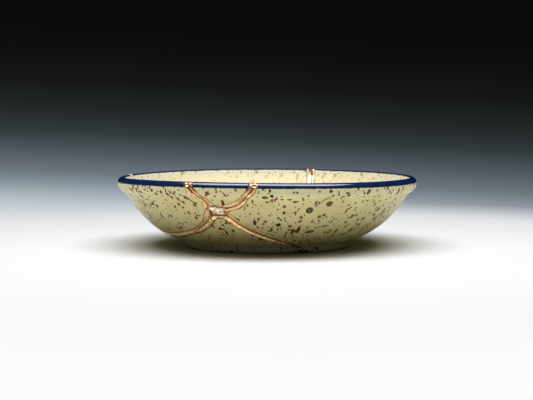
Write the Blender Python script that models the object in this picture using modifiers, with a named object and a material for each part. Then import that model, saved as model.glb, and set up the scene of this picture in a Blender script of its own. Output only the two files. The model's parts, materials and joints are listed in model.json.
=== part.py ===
"""A kintsugi plate: a thrown stoneware dish, broken into four sherds and mended with gilded lacquer.

The sherds are cut from one turned dish. The lacquer fills every break through the whole wall and
stands a little proud of the glaze. Metres, +Z up: the foot ring rests on z = 0, and Z is the axis.
"""

import math

import bmesh
import bpy
from mathutils import Matrix, Vector
from mathutils.geometry import interpolate_bezier

MM = 0.001

# Driving sizes of the dish.
RIM_RADIUS = 100.1 * MM
RIM_HEIGHT = 46.9 * MM
FOOT_RADIUS = 55.4 * MM

# Thicknesses of the thrown clay.
LIP = 4.7 * MM
WALL = 4.2 * MM
FLOOR = 4.8 * MM
FLOOR_EDGE = 0.75 * FOOT_RADIUS

# The turned foot ring, the recess that it surrounds, and a small chip in its edge.
FOOT_WIDTH = 5.2 * MM
FOOT_LIFT = 3.0 * MM
FOOT_ROUND = 0.7 * MM
CHIP_ANGLE = math.radians(-62.9)
CHIP_RADIUS = 1.4 * MM
CHIP_SHIFT = 0.2 * CHIP_RADIUS

# The wall under the lip: where it joins the foot, where the belly ends, and its slopes there.
FOOT_JOIN = Vector((FOOT_RADIUS + 1.4 * MM, FOOT_LIFT + 1.0 * MM))
BELLY_END = Vector((0.921 * RIM_RADIUS, 0.686 * RIM_HEIGHT))
LIP_START = Vector((RIM_RADIUS, RIM_HEIGHT - LIP / 2))
FOOT_SLOPE = math.radians(18.7)
BELLY_SLOPE = math.radians(58.8)
LIP_SLOPE = math.radians(90.0)
BELLY_PULL = 15.5 * MM
FLARE_PULL = 9.0 * MM
LIP_PULL = 7.0 * MM

# A hand-thrown rim is never quite level: the waves round it, how high each lifts it, and where.
RIM_WAVES = (
    (1, 0.13 * MM, math.radians(180)),
    (2, 0.39 * MM, math.radians(78)),
    (3, 0.16 * MM, math.radians(-3)),
)

# The mend: the crack through the wall, its chamfered mouths, and how far the lacquer stands proud.
CRACK = 1.2 * MM
MOUTH_EDGE = 0.4 * MM
MOUTH_DEPTH = 1.3 * MM
PROUD = 0.25 * MM
GAP = 0.3 * MM
REACH_OUT = 3.0 * MM
REACH_IN = 1.5 * MM
STEP = 7.0 * MM
PATCH_ANGLE = -110.0
PATCH_HEIGHT = 28.4
PATCH_WIDE = 7.4 * MM
PATCH_TALL = 5.3 * MM
MOUND_SHARE = 0.9
MOUND_RISE = 0.7 * MM

# Facets.
TURNS = 64
WALL_FACETS = 6
FLARE_FACETS = 4
LIP_FACETS = 4
PATCH_FACETS = 24
MOUND_FACETS = 8
WELD = 0.005 * MM
FLAT = math.radians(1.0)
SHARP = math.radians(35.0)

# Each sherd is named for the stretch of rim that it holds, given here in degrees round the axis.
SHERD_RIMS = {"sherd_front": -107, "sherd_left": -165, "sherd_back": 120, "sherd_right": 0}
SEAM_NAME = "gold_seams"

GLAZE = (0.47, 0.43, 0.25, 1.0)
GOLD = (0.78, 0.50, 0.22, 1.0)


# Collections and objects

def new_collection(name, parent):
    """A new collection inside another."""
    collection = bpy.data.collections.new(name)
    parent.children.link(collection)
    return collection


def mesh_object(name, bm, collection):
    """A new object from a finished bmesh, facing out."""
    bmesh.ops.recalc_face_normals(bm, faces=bm.faces)
    mesh = bpy.data.meshes.new(name)
    bm.to_mesh(mesh)
    bm.free()
    solid = bpy.data.objects.new(name, mesh)
    collection.objects.link(solid)
    return solid


def settled(solid):
    """The object with its modifiers worked into its mesh, facing out."""
    graph = bpy.context.evaluated_depsgraph_get()
    shaped = bpy.data.meshes.new_from_object(solid.evaluated_get(graph))
    solid.modifiers.clear()
    solid.data = shaped
    bm = bmesh.new()
    bm.from_mesh(shaped)
    bmesh.ops.recalc_face_normals(bm, faces=bm.faces)
    bm.to_mesh(shaped)
    bm.free()
    return solid


def combined(solid, operation, tools):
    """The solid after one exact Boolean with all the tools of a collection."""
    boolean = solid.modifiers.new(operation.title(), "BOOLEAN")
    boolean.operation = operation
    boolean.solver = "EXACT"
    boolean.operand_type = "COLLECTION"
    boolean.collection = tools
    return settled(solid)


# The dish, as half of its section in the plane of radius and height

def slope(angle, length):
    """A step of some length along a line that rises at the angle."""
    return Vector((math.cos(angle), math.sin(angle))) * length


def curve(start, start_pull, end_pull, end, facets):
    """Points of one curved stretch of the section."""
    handles = [point.to_3d() for point in (start, start + start_pull, end - end_pull, end)]
    return [point.to_2d() for point in interpolate_bezier(*handles, facets + 1)]


def moved_right(points, distances):
    """A line of the section moved to its right by a distance at each point."""
    moved = []
    for index, point in enumerate(points):
        before = points[max(index - 1, 0)]
        after = points[min(index + 1, len(points) - 1)]
        along = (after - before).normalized()
        moved.append(point + Vector((along.y, -along.x)) * distances[index])
    return moved


def outer_wall():
    """The outside of the wall, from the foot up to where the lip turns over."""
    belly = curve(FOOT_JOIN, slope(FOOT_SLOPE, BELLY_PULL), slope(BELLY_SLOPE, BELLY_PULL),
                  BELLY_END, WALL_FACETS)
    flare = curve(BELLY_END, slope(BELLY_SLOPE, FLARE_PULL), slope(LIP_SLOPE, LIP_PULL),
                  LIP_START, FLARE_FACETS)
    return belly + flare[1:]


def inner_wall():
    """The inside of the wall: the outside moved in by a thickness that runs from floor to lip."""
    thick = [FLOOR + (WALL - FLOOR) * index / WALL_FACETS for index in range(WALL_FACETS)]
    thick += [WALL + (LIP - WALL) * index / FLARE_FACETS for index in range(FLARE_FACETS + 1)]
    inside = moved_right(outer_wall(), [-distance for distance in thick])
    inside[-1] = LIP_START - Vector((LIP, 0.0))
    return inside


def lip_turn():
    """The lip, a half round from the inside of the wall over to the outside, without its ends."""
    middle = LIP_START - Vector((LIP / 2, 0.0))
    turns = [math.pi * (1 - index / LIP_FACETS) for index in range(1, LIP_FACETS)]
    return [middle + slope(turn, LIP / 2) for turn in turns]


def foot_ring():
    """The foot ring, from its outside down, under, and up into the recess."""
    outside = FOOT_RADIUS
    inside = FOOT_RADIUS - FOOT_WIDTH
    return [
        Vector((outside, FOOT_LIFT)),
        Vector((outside, FOOT_ROUND)),
        Vector((outside - FOOT_ROUND, 0.0)),
        Vector((inside + FOOT_ROUND, 0.0)),
        Vector((inside, FOOT_ROUND)),
        Vector((inside - FOOT_ROUND, FOOT_LIFT)),
    ]


def dish_section():
    """From the middle of the floor over the lip, and back to the middle of the recess."""
    floor_middle = Vector((0.0, FOOT_LIFT + FLOOR))
    floor_edge = Vector((FLOOR_EDGE, FOOT_LIFT + FLOOR))
    recess_middle = Vector((0.0, FOOT_LIFT))
    rising = [floor_middle, floor_edge] + inner_wall() + lip_turn()
    return rising + outer_wall()[::-1] + foot_ring() + [recess_middle]


def lacquer_section():
    """The section that the lacquer fills: proud of the glaze, but clear of the ground."""
    section = dish_section()
    proud = moved_right(section, [-PROUD] * len(section))
    return [Vector((point.x, max(point.y, PROUD))) for point in proud]


def turned(name, section, collection):
    """A solid turned from half of its section."""
    mesh = bpy.data.meshes.new(name)
    edges = [(index, index + 1) for index in range(len(section) - 1)]
    mesh.from_pydata([(point.x, 0.0, point.y) for point in section], edges, [])
    solid = bpy.data.objects.new(name, mesh)
    collection.objects.link(solid)
    screw = solid.modifiers.new("Turn", "SCREW")
    screw.steps = TURNS
    screw.render_steps = TURNS
    screw.use_merge_vertices = True
    screw.merge_threshold = WELD
    return settled(solid)


def foot_chip(collection):
    """The hollow left by the chip in the foot's edge."""
    bm = bmesh.new()
    bmesh.ops.create_icosphere(bm, subdivisions=2, radius=CHIP_RADIUS)
    place = slope(CHIP_ANGLE, FOOT_RADIUS + CHIP_SHIFT)
    bmesh.ops.translate(bm, verts=bm.verts, vec=(place.x, place.y, CHIP_SHIFT))
    return mesh_object("foot_chip", bm, collection)


# The breaks, drawn on the dish laid flat: a point lies as far from the middle as the outside of the
# dish reaches along its section, and its third value is the width of the seam there.

def break_lines():
    """Matched lines outside and inside the dish: every break runs straight from one to the other."""
    floor = FOOT_LIFT + FLOOR
    recess_edge = FOOT_RADIUS - 2 * FOOT_WIDTH
    over_the_foot = [
        Vector((0.0, FOOT_LIFT)),
        Vector((recess_edge, FOOT_LIFT)),
        Vector((FOOT_RADIUS - FOOT_WIDTH, 0.0)),
        Vector((FOOT_RADIUS - FOOT_ROUND, 0.0)),
        Vector((FOOT_RADIUS, FOOT_LIFT)),
    ]
    over_the_floor = [Vector((0.0, floor))]
    for share in (0.0, 0.3, 0.6, 0.85):
        over_the_floor.append(Vector((FLOOR_EDGE + share * (FOOT_RADIUS - FLOOR_EDGE), floor)))
    outside = over_the_foot + outer_wall()
    inside = over_the_floor + inner_wall()
    above = Vector((0.0, LIP / 2 + REACH_OUT))
    return outside + [outside[-1] + above], inside + [inside[-1] + above]


def reaches(line):
    """How far along a line each of its points lies."""
    along = [0.0]
    for before, after in zip(line, line[1:]):
        along.append(along[-1] + (after - before).length)
    return along


OUTSIDE, INSIDE = break_lines()
REACHES = reaches(OUTSIDE)
FOOT_EDGE = 3


def on_wall(angle, height, width):
    """A point of a break on the outside of the foot or wall, from degrees and millimetres up."""
    below = [index for index in range(FOOT_EDGE, len(OUTSIDE) - 1) if OUTSIDE[index].y <= height * MM]
    index = below[-1]
    share = (height * MM - OUTSIDE[index].y) / (OUTSIDE[index + 1].y - OUTSIDE[index].y)
    reach = REACHES[index] + share * (REACHES[index + 1] - REACHES[index])
    place = slope(math.radians(angle), reach)
    return Vector((place.x, place.y, width * MM))


def on_base(x, y, width):
    """A point of a break under the base, where the flat drawing is true to size, in millimetres."""
    return Vector((x, y, width)) * MM


def break_routes():
    """The four breaks, each from the patch where they meet to the rim."""
    patch = on_wall(PATCH_ANGLE, PATCH_HEIGHT, 6.4)
    front_left = [
        patch,
        on_wall(-113.0, 33.0, 7.0),
        on_wall(-114.6, 36.6, 5.4),
        on_wall(-116.5, 39.8, 4.8),
        on_wall(-117.8, 42.2, 5.2),
        on_wall(-118.4, 44.3, 5.6),
    ]
    front = [
        patch,
        on_wall(-105.2, 31.1, 5.4),
        on_wall(-101.6, 32.9, 5.8),
        on_wall(-98.8, 35.7, 5.6),
        on_wall(-96.9, 39.3, 4.8),
        on_wall(-95.5, 42.5, 5.0),
        on_wall(-94.8, 44.3, 5.6),
    ]
    left = [
        patch,
        on_wall(-113.2, 26.0, 8.4),
        on_wall(-114.9, 22.8, 7.2),
        on_wall(-117.8, 19.6, 6.4),
        on_wall(-122.0, 16.7, 5.6),
        on_wall(-128.5, 14.2, 5.0),
        on_wall(-137.0, 12.2, 4.6),
        on_wall(-152.0, 10.9, 4.0),
        on_wall(-166.0, 13.0, 3.6),
        on_wall(-179.0, 20.0, 3.6),
        on_wall(-188.0, 29.0, 4.0),
        on_wall(-193.5, 39.0, 4.2),
        on_wall(-193.0, 44.3, 4.4),
    ]
    across = [
        patch,
        on_wall(-105.6, 25.4, 6.8),
        on_wall(-102.0, 21.0, 5.6),
        on_wall(-97.9, 17.2, 5.0),
        on_wall(-93.5, 14.2, 4.4),
        on_wall(-88.0, 11.1, 4.0),
        on_wall(-82.6, 8.8, 3.8),
        on_wall(-77.2, 6.9, 3.4),
        on_wall(-72.0, 4.8, 2.8),
        on_wall(-67.6, 3.0, 2.2),
        on_wall(-65.2, 1.2, 1.6),
        on_base(23.6, -44.0, 1.6),
        on_base(25.5, -22.0, 2.2),
        on_base(28.0, 10.0, 2.6),
        on_base(30.5, 42.0, 2.2),
        on_wall(58.5, 5.2, 2.6),
        on_wall(65.0, 14.0, 3.6),
        on_wall(68.2, 27.0, 5.0),
        on_wall(69.6, 38.0, 5.8),
        on_wall(70.1, 44.3, 6.0),
    ]
    return {"front_left": front_left, "front": front, "left": left, "across": across}


def smoothed(points):
    """A smooth line through the points of a break, with a station about every STEP."""
    stations = [points[0]]
    for index in range(len(points) - 1):
        start = points[index]
        end = points[index + 1]
        before = points[max(index - 1, 0)]
        after = points[min(index + 2, len(points) - 1)]
        facets = max(1, round((end - start).length / STEP))
        handles = (start, start + (end - before) / 6, end - (after - start) / 6, end)
        stations += interpolate_bezier(*handles, facets + 1)[1:]
    return stations


def over_the_rim(before, end, clearance):
    """The stations that carry a break on through the lip, the way it goes, to where lacquer caps it."""
    onward = (end - before).to_2d()
    rising = onward / onward.dot(end.to_2d().normalized())
    lifts = (-clearance, LIP / 4 - clearance, LIP / 2 + 0.5 * REACH_OUT)
    return [end + rising.to_3d() * lift for lift in lifts]


def through(station):
    """Where a break leaves the outside and the inside of the dish at a station, in space."""
    reach = station.to_2d().length
    index = [i for i in range(len(REACHES) - 1) if REACHES[i] <= reach][-1]
    share = (reach - REACHES[index]) / (REACHES[index + 1] - REACHES[index])
    turn = Matrix.Rotation(math.atan2(station.y, station.x), 3, "Z")
    ends = [line[index].lerp(line[index + 1], share) for line in (OUTSIDE, INSIDE)]
    return [turn @ Vector((end.x, 0.0, end.y)) for end in ends]


def ring(outer, inner, travel, width, clearance):
    """The section of a break: a mouth of the full width on each side of a narrow crack."""
    depth = (outer - inner).normalized()
    across = depth.cross(travel).normalized()
    mouth = width / 2 + clearance
    capped = outer.z > LIP_START.y
    narrow = mouth if capped else CRACK / 2 + clearance
    edge = MOUTH_EDGE + clearance
    throat = MOUTH_DEPTH + clearance
    side = [
        (outer + depth * REACH_OUT, mouth),
        (outer - depth * edge, mouth),
        (outer - depth * throat, narrow),
        (inner + depth * throat, narrow),
        (inner + depth * edge, mouth),
        (inner - depth * REACH_IN, mouth),
    ]
    right = [point + across * reach for point, reach in side]
    left = [point - across * reach for point, reach in reversed(side)]
    return right + left


def filling(name, points, clearance, collection):
    """The lacquer of one break, grown by a clearance, as a loft that overshoots the dish all round."""
    stations = smoothed(points)
    end = stations.pop()
    stations += over_the_rim(stations[-1], end, clearance)
    ends = [through(station) for station in stations]
    bm = bmesh.new()
    rows = []
    for index, (outer, inner) in enumerate(ends):
        before = ends[max(index - 1, 0)]
        after = ends[min(index + 1, len(ends) - 1)]
        travel = after[0] + after[1] - before[0] - before[1]
        points_round = ring(outer, inner, travel, stations[index].z, clearance)
        rows.append([bm.verts.new(point) for point in points_round])
    for before, after in zip(rows, rows[1:]):
        for index in range(len(before)):
            bm.faces.new((before[index - 1], before[index], after[index], after[index - 1]))
    bm.faces.new(rows[0])
    bm.faces.new(rows[-1])
    bmesh.ops.triangulate(bm, faces=bm.faces)
    return mesh_object(name, bm, collection)


def patch_core(clearance, collection):
    """The oval patch where the breaks meet, right through the wall."""
    outer, inner = through(on_wall(PATCH_ANGLE, PATCH_HEIGHT, 0.0))
    depth = outer - inner
    reach = depth.length + 2 * REACH_IN
    size = Vector((PATCH_WIDE + clearance, PATCH_TALL + clearance, 1.0))
    bm = bmesh.new()
    bmesh.ops.create_cone(bm, cap_ends=True, segments=PATCH_FACETS, radius1=1.0, radius2=1.0, depth=reach)
    bmesh.ops.scale(bm, verts=bm.verts, vec=size)
    bmesh.ops.rotate(bm, verts=bm.verts, matrix=depth.to_track_quat("Z", "Y").to_matrix())
    bmesh.ops.translate(bm, verts=bm.verts, vec=(outer + inner) / 2)
    return mesh_object("patch_core", bm, collection)


def patch_mound(collection):
    """The low mound of lacquer that stands on the patch."""
    outer, inner = through(on_wall(PATCH_ANGLE, PATCH_HEIGHT, 0.0))
    depth = outer - inner
    size = Vector((MOUND_SHARE * PATCH_WIDE, MOUND_SHARE * PATCH_TALL, MOUTH_EDGE + MOUND_RISE))
    bm = bmesh.new()
    bmesh.ops.create_uvsphere(bm, u_segments=PATCH_FACETS, v_segments=MOUND_FACETS, radius=1.0)
    bmesh.ops.scale(bm, verts=bm.verts, vec=size)
    bmesh.ops.rotate(bm, verts=bm.verts, matrix=depth.to_track_quat("Z", "Y").to_matrix())
    bmesh.ops.translate(bm, verts=bm.verts, vec=outer - depth.normalized() * MOUTH_EDGE)
    return mesh_object("patch_mound", bm, collection)


# The pieces

def fillings(purpose, clearance):
    """A collection of tools: the fillings of all the breaks, grown by a clearance."""
    tools = new_collection(purpose, cutters)
    for route_name, points in break_routes().items():
        filling(purpose + "_" + route_name, points, clearance, tools)
    return tools


def sherds():
    """The turned dish, parted by the breaks into loose sherds."""
    cuts = fillings("break", GAP)
    patch_core(GAP, cuts)
    foot_chip(cuts)
    dish = combined(turned("dish", dish_section(), plate), "DIFFERENCE", cuts)
    bpy.ops.object.select_all(action="DESELECT")
    bpy.context.view_layer.objects.active = dish
    dish.select_set(True)
    bpy.ops.object.mode_set(mode="EDIT")
    bpy.ops.mesh.select_all(action="SELECT")
    bpy.ops.mesh.separate(type="LOOSE")
    bpy.ops.object.mode_set(mode="OBJECT")
    return list(bpy.context.selected_objects)


def lacquer():
    """All the lacquer as one piece: the breaks' fillings, kept to the dish's proud section."""
    limits = new_collection("limits", cutters)
    turned("proud_dish", lacquer_section(), limits)
    mounds = new_collection("mounds", cutters)
    patch_mound(mounds)
    chips = new_collection("chips", cutters)
    foot_chip(chips)
    gold = combined(patch_core(0.0, plate), "UNION", fillings("filling", 0.0))
    gold = combined(gold, "INTERSECT", limits)
    gold = combined(gold, "DIFFERENCE", chips)
    return combined(gold, "UNION", mounds)


def named_by_rim(pieces):
    """The sherds by name: each is the piece that comes nearest to its own stretch of rim."""
    named = {}
    for name, angle in SHERD_RIMS.items():
        rim = slope(math.radians(angle), RIM_RADIUS).to_3d() + Vector((0.0, 0.0, LIP_START.y))
        nearest = min(pieces, key=lambda piece: min((v.co - rim).length for v in piece.data.vertices))
        named[name] = nearest
    return named


def rim_wave(angle):
    """How far the rim rises at an angle round the axis."""
    return sum(lift * math.cos(count * (angle - crest)) for count, lift, crest in RIM_WAVES)


def warp(solid):
    """Lifts the wall towards the rim by the waves of a hand-thrown rim."""
    for vertex in solid.data.vertices:
        share = vertex.co.z / RIM_HEIGHT
        vertex.co.z += share * rim_wave(math.atan2(vertex.co.y, vertex.co.x))


def coloured(solid, colour, roughness, metallic):
    """Gives the object a material of its own."""
    material = bpy.data.materials.new(solid.name + "_material")
    material.use_nodes = True
    surface = material.node_tree.nodes["Principled BSDF"]
    surface.inputs["Base Color"].default_value = colour
    surface.inputs["Roughness"].default_value = roughness
    surface.inputs["Metallic"].default_value = metallic
    solid.data.materials.clear()
    solid.data.materials.append(material)


def simplified(solid):
    """Merges neighbouring facets that lie in one plane."""
    bm = bmesh.new()
    bm.from_mesh(solid.data)
    bmesh.ops.dissolve_limit(bm, angle_limit=FLAT, verts=bm.verts, edges=bm.edges)
    bmesh.ops.triangulate(bm, faces=bm.faces)
    bm.to_mesh(solid.data)
    bm.free()


def finished(solid, name, parent):
    """Names a piece, sets it on the plate's axis and smooths its round faces."""
    simplified(solid)
    solid.name = name
    solid.data.name = name
    solid.parent = parent
    warp(solid)
    solid.data.shade_smooth()
    solid.data.set_sharp_from_angle(angle=SHARP)


for old in list(bpy.data.objects):
    bpy.data.objects.remove(old)
plate = new_collection("Kintsugi plate", bpy.context.scene.collection)
cutters = new_collection("Cutters", bpy.context.scene.collection)
axis = bpy.data.objects.new("plate_axis", None)
plate.objects.link(axis)

for sherd_name, sherd in named_by_rim(sherds()).items():
    finished(sherd, sherd_name, axis)
    coloured(sherd, GLAZE, 0.35, 0.0)
seams = lacquer()
finished(seams, SEAM_NAME, axis)
coloured(seams, GOLD, 0.3, 1.0)

for tool in cutters.all_objects:
    tool.hide_render = True
    tool.display_type = "WIRE"
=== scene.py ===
# %% [markdown]
# # A mended plate
# The object is a thrown stoneware dish, 200 mm across, with an olive glaze, iron specks and a cobalt
# line on its rim. It broke into four sherds and was mended by kintsugi: lacquer glues the sherds, and
# gold powder is dusted on the lacquer while it is still tacky. The solids already have the right
# sizes. This lesson dresses them: fine sherds with a glaze, and a gilded bead along every break.

# %% The frame
import json
import math

import bmesh
import bpy
import numpy as np
from mathutils import Matrix, Vector, kdtree, noise
from mathutils.geometry import interpolate_bezier

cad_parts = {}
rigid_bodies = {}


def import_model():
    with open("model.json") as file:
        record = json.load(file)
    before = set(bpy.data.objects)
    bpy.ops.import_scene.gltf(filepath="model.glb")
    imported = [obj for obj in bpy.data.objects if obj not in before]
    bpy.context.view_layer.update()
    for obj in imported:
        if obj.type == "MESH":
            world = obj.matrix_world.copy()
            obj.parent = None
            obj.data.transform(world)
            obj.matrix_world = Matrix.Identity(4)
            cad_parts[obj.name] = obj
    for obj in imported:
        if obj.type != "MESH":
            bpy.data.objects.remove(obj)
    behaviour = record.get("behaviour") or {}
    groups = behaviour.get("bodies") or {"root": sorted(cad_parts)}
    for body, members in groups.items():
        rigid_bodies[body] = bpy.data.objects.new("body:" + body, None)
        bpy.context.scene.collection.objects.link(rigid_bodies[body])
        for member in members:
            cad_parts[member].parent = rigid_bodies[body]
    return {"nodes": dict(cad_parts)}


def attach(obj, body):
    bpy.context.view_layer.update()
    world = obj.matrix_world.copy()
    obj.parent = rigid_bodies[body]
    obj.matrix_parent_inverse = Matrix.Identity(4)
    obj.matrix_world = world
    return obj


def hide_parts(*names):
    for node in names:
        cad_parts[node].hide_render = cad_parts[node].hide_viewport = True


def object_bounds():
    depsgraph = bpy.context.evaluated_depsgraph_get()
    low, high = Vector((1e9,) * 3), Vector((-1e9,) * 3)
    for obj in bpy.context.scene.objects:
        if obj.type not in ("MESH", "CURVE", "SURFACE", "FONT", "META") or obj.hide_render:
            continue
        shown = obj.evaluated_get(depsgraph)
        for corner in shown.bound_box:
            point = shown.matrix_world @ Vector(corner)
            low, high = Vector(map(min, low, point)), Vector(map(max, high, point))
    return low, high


MM = 0.001
NOISE_SEED = 1
noise.seed_set(NOISE_SEED)  # else the vector noise starts from the clock
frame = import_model()
cad_low, cad_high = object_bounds()
scene = bpy.context.scene
print("solids:", sorted(frame["nodes"]))
print("box in mm:", [round(size / MM, 1) for size in cad_high - cad_low])

# %% [markdown]
# ## The section of the dish
# A dish is thrown on a wheel, so half of its section says everything about its form. The outside is
# two curves, a belly and a flare, and the inside is the outside moved in by the wall's thickness. The
# sizes are the solids' own, but every curve has more facets here, and the corners of the foot are
# rounded by arcs, because glaze softens them.

# %% Sizes of the dish
RIM_RADIUS = cad_high.x
RIM_HEIGHT = 46.9 * MM
FOOT_RADIUS = 55.4 * MM
FOOT_WIDTH = 5.2 * MM
FOOT_LIFT = 3.0 * MM
FOOT_ROUND = 0.7 * MM
SHOULDER_DROP = 0.9 * MM
LIP = 4.7 * MM
LIP_OUTSIDE = 3.2 * MM
LIP_INSIDE = LIP - LIP_OUTSIDE
WALL = 4.2 * MM
FLOOR = 4.8 * MM
FLOOR_HEIGHT = FOOT_LIFT + FLOOR
FLOOR_EDGE = 0.75 * FOOT_RADIUS

FOOT_JOIN = Vector((FOOT_RADIUS + 1.4 * MM, FOOT_LIFT + 1.0 * MM))
BELLY_END = Vector((0.921 * RIM_RADIUS, 0.686 * RIM_HEIGHT))
LIP_START = Vector((RIM_RADIUS, RIM_HEIGHT - LIP_OUTSIDE))
FOOT_SLOPE = math.radians(18.7)
BELLY_SLOPE = math.radians(58.8)
UPRIGHT = math.radians(90.0)
SHOULDER_PULL = 0.8 * MM
BELLY_PULL = 15.5 * MM
FLARE_PULL = 9.0 * MM
LIP_PULL = 7.0 * MM
INNER_FLARE_PULL = 4.0 * MM
INNER_LIP_PULL = 2.7 * MM

TURNS = 320
BELLY_FACETS = 26
FLARE_FACETS = 16
LIP_FACETS = 8
CORNER_FACETS = 5
FLOOR_FACETS = 16
RECESS_FACETS = 12
print("rim", round(2 * RIM_RADIUS / MM, 1), "mm across, foot", round(2 * FOOT_RADIUS / MM, 1), "mm")


# %% Curves in the plane of the section
def slope(angle, length):
    """A step of some length along a line that rises at the angle."""
    return Vector((math.cos(angle), math.sin(angle))) * length


def curve(start, start_pull, end_pull, end, facets):
    """Points of one curved stretch of the section."""
    handles = [point.to_3d() for point in (start, start + start_pull, end - end_pull, end)]
    return [point.to_2d() for point in interpolate_bezier(*handles, facets + 1)]


def arc(x, y, radius, start, end, facets):
    """Points of a round corner about its middle, from one angle in degrees to another."""
    turns = [math.radians(start + (end - start) * index / facets) for index in range(facets + 1)]
    return [Vector((x, y)) + slope(turn, radius) for turn in turns]


def with_neighbours(items):
    """Each item of a row between the ones before and after it; an end is its own neighbour."""
    return zip([items[0], *items[:-1]], items, [*items[1:], items[-1]])


def moved_right(points, distances):
    """A line of the section moved to its right by a distance at each point."""
    moved = []
    for (before, point, after), distance in zip(with_neighbours(points), distances):
        along = (after - before).normalized()
        moved.append(point + Vector((along.y, -along.x)) * distance)
    return moved


def outer_wall():
    """The outside of the wall, from the foot up to where the lip turns over."""
    belly = curve(FOOT_JOIN, slope(FOOT_SLOPE, BELLY_PULL), slope(BELLY_SLOPE, BELLY_PULL),
                  BELLY_END, BELLY_FACETS)
    flare = curve(BELLY_END, slope(BELLY_SLOPE, FLARE_PULL), slope(UPRIGHT, LIP_PULL),
                  LIP_START, FLARE_FACETS)
    return belly + flare[1:]


def inner_wall():
    """The inside of the wall: the belly moved in by the wall's thickness, and a flare of its own."""
    thick = [FLOOR + (WALL - FLOOR) * index / BELLY_FACETS for index in range(BELLY_FACETS + 1)]
    belly = moved_right(outer_wall()[:BELLY_FACETS + 1], [-thickness for thickness in thick])
    flare = curve(belly[-1], slope(BELLY_SLOPE, INNER_FLARE_PULL), slope(UPRIGHT, INNER_LIP_PULL),
                  LIP_START - Vector((LIP, 0.0)), FLARE_FACETS)
    return belly + flare[1:]


print("wall of", len(outer_wall()), "points")

# %% [markdown]
# Fingers leave faint rings inside a thrown dish, a tenth of a millimetre deep and a finger apart.
# They are modelled in the section itself, so that they catch the light from every side.

# %% The whole section
THROWING_DEPTH = 0.07 * MM
THROWING_PITCH = 8.5 * MM


def throwing_rings(points):
    """The inside line with the faint rings that a thrower's fingers leave."""
    along = 0.0
    depths = []
    for index, (before, point, after) in enumerate(with_neighbours(points)):
        along += (point - before).length
        fade = min(1.0, (len(points) - 1 - index) / FLARE_FACETS)
        depths.append(THROWING_DEPTH * fade * math.sin(math.tau * along / THROWING_PITCH))
    return moved_right(points, depths)


def foot_ring():
    """The foot ring, from the wall down its outside, under it, and up into the recess."""
    inside = FOOT_RADIUS - FOOT_WIDTH
    shoulder = curve(FOOT_JOIN, slope(FOOT_SLOPE, -SHOULDER_PULL), slope(UPRIGHT, -SHOULDER_PULL),
                     Vector((FOOT_RADIUS, FOOT_LIFT - SHOULDER_DROP)), CORNER_FACETS)
    corners = (
        (FOOT_RADIUS - FOOT_ROUND, FOOT_ROUND, 0, -90),
        (inside + FOOT_ROUND, FOOT_ROUND, -90, -180),
        (inside - 2 * FOOT_ROUND, FOOT_LIFT - FOOT_ROUND, 0, 90),
    )
    return shoulder[1:] + [point for x, y, start, end in corners
                           for point in arc(x, y, FOOT_ROUND, start, end, CORNER_FACETS)]


def dish_section():
    """From the middle of the floor over the lip, and back to the middle of the recess."""
    wall = inner_wall()
    pull = (wall[0].x - FLOOR_EDGE) / 2
    floor = [Vector((FLOOR_EDGE * index / FLOOR_FACETS, FLOOR_HEIGHT)) for index in range(FLOOR_FACETS)]
    bend = curve(Vector((FLOOR_EDGE, FLOOR_HEIGHT)), Vector((pull, 0.0)), slope(FOOT_SLOPE, pull / 2),
                 wall[0], CORNER_FACETS)
    crest = RIM_RADIUS - LIP_OUTSIDE
    lip = arc(crest, RIM_HEIGHT - LIP_INSIDE, LIP_INSIDE, 180, 90, LIP_FACETS)
    lip += arc(crest, RIM_HEIGHT - LIP_OUTSIDE, LIP_OUTSIDE, 90, 0, LIP_FACETS)[1:]
    foot = foot_ring()
    recess = [Vector((foot[-1].x * (1 - index / RECESS_FACETS), FOOT_LIFT))
              for index in range(1, RECESS_FACETS + 1)]
    inside = throwing_rings(floor + bend[:-1] + wall[:-1])
    return inside + lip + outer_wall()[-2::-1] + foot + recess


SECTION = dish_section()
print("section of", len(SECTION), "points")


# %% [markdown]
# ## Turning the section
# The spin operator turns the section round the axis as the wheel does. A full spin merges its last
# step with its first, and the two ends on the axis are merged into poles, which closes the solid.

# %% Objects from meshes
def new_collection(name, hidden=True):
    """A collection of the scene, hidden when it holds tools."""
    collection = bpy.data.collections.new(name)
    scene.collection.children.link(collection)
    collection.hide_render = hidden
    return collection


def mesh_object(name, bm, collection, finish_index=0):
    """A new object from a finished bmesh, facing out, with one finish."""
    bmesh.ops.recalc_face_normals(bm, faces=bm.faces)
    for face in bm.faces:
        face.material_index = finish_index
    mesh = bpy.data.meshes.new(name)
    bm.to_mesh(mesh)
    bm.free()
    piece = bpy.data.objects.new(name, mesh)
    collection.objects.link(piece)
    return piece


def settled(piece):
    """The object with its modifiers worked into its mesh."""
    graph = bpy.context.evaluated_depsgraph_get()
    shaped = bpy.data.meshes.new_from_object(piece.evaluated_get(graph))
    piece.modifiers.clear()
    piece.data = shaped
    return piece


def combined(piece, operation, tools):
    """The piece after one exact Boolean with all the tools of a collection, which are then put away."""
    boolean = piece.modifiers.new(operation.title(), "BOOLEAN")
    boolean.operation = operation
    boolean.solver = "EXACT"
    boolean.operand_type = "COLLECTION"
    boolean.collection = tools
    settled(piece)
    for tool in list(tools.objects):
        bpy.data.objects.remove(tool)
    bpy.data.collections.remove(tools)
    return piece


pieces = new_collection("Mended plate", hidden=False)
print("collection:", pieces.name)

# %% The turned dish
DOUBLES = 0.001 * MM


def turned_dish():
    """The whole dish as one closed solid."""
    bm = bmesh.new()
    places = [bm.verts.new((point.x, 0.0, point.y)) for point in SECTION]
    edges = [bm.edges.new(pair) for pair in zip(places, places[1:])]
    bmesh.ops.spin(bm, geom=places + edges, axis=(0, 0, 1), cent=(0, 0, 0), angle=math.tau,
                   steps=TURNS, use_merge=True)
    bmesh.ops.remove_doubles(bm, verts=bm.verts, dist=DOUBLES)
    return mesh_object("dish", bm, pieces)


dish = turned_dish()
print("dish of", len(dish.data.polygons), "faces")

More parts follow.
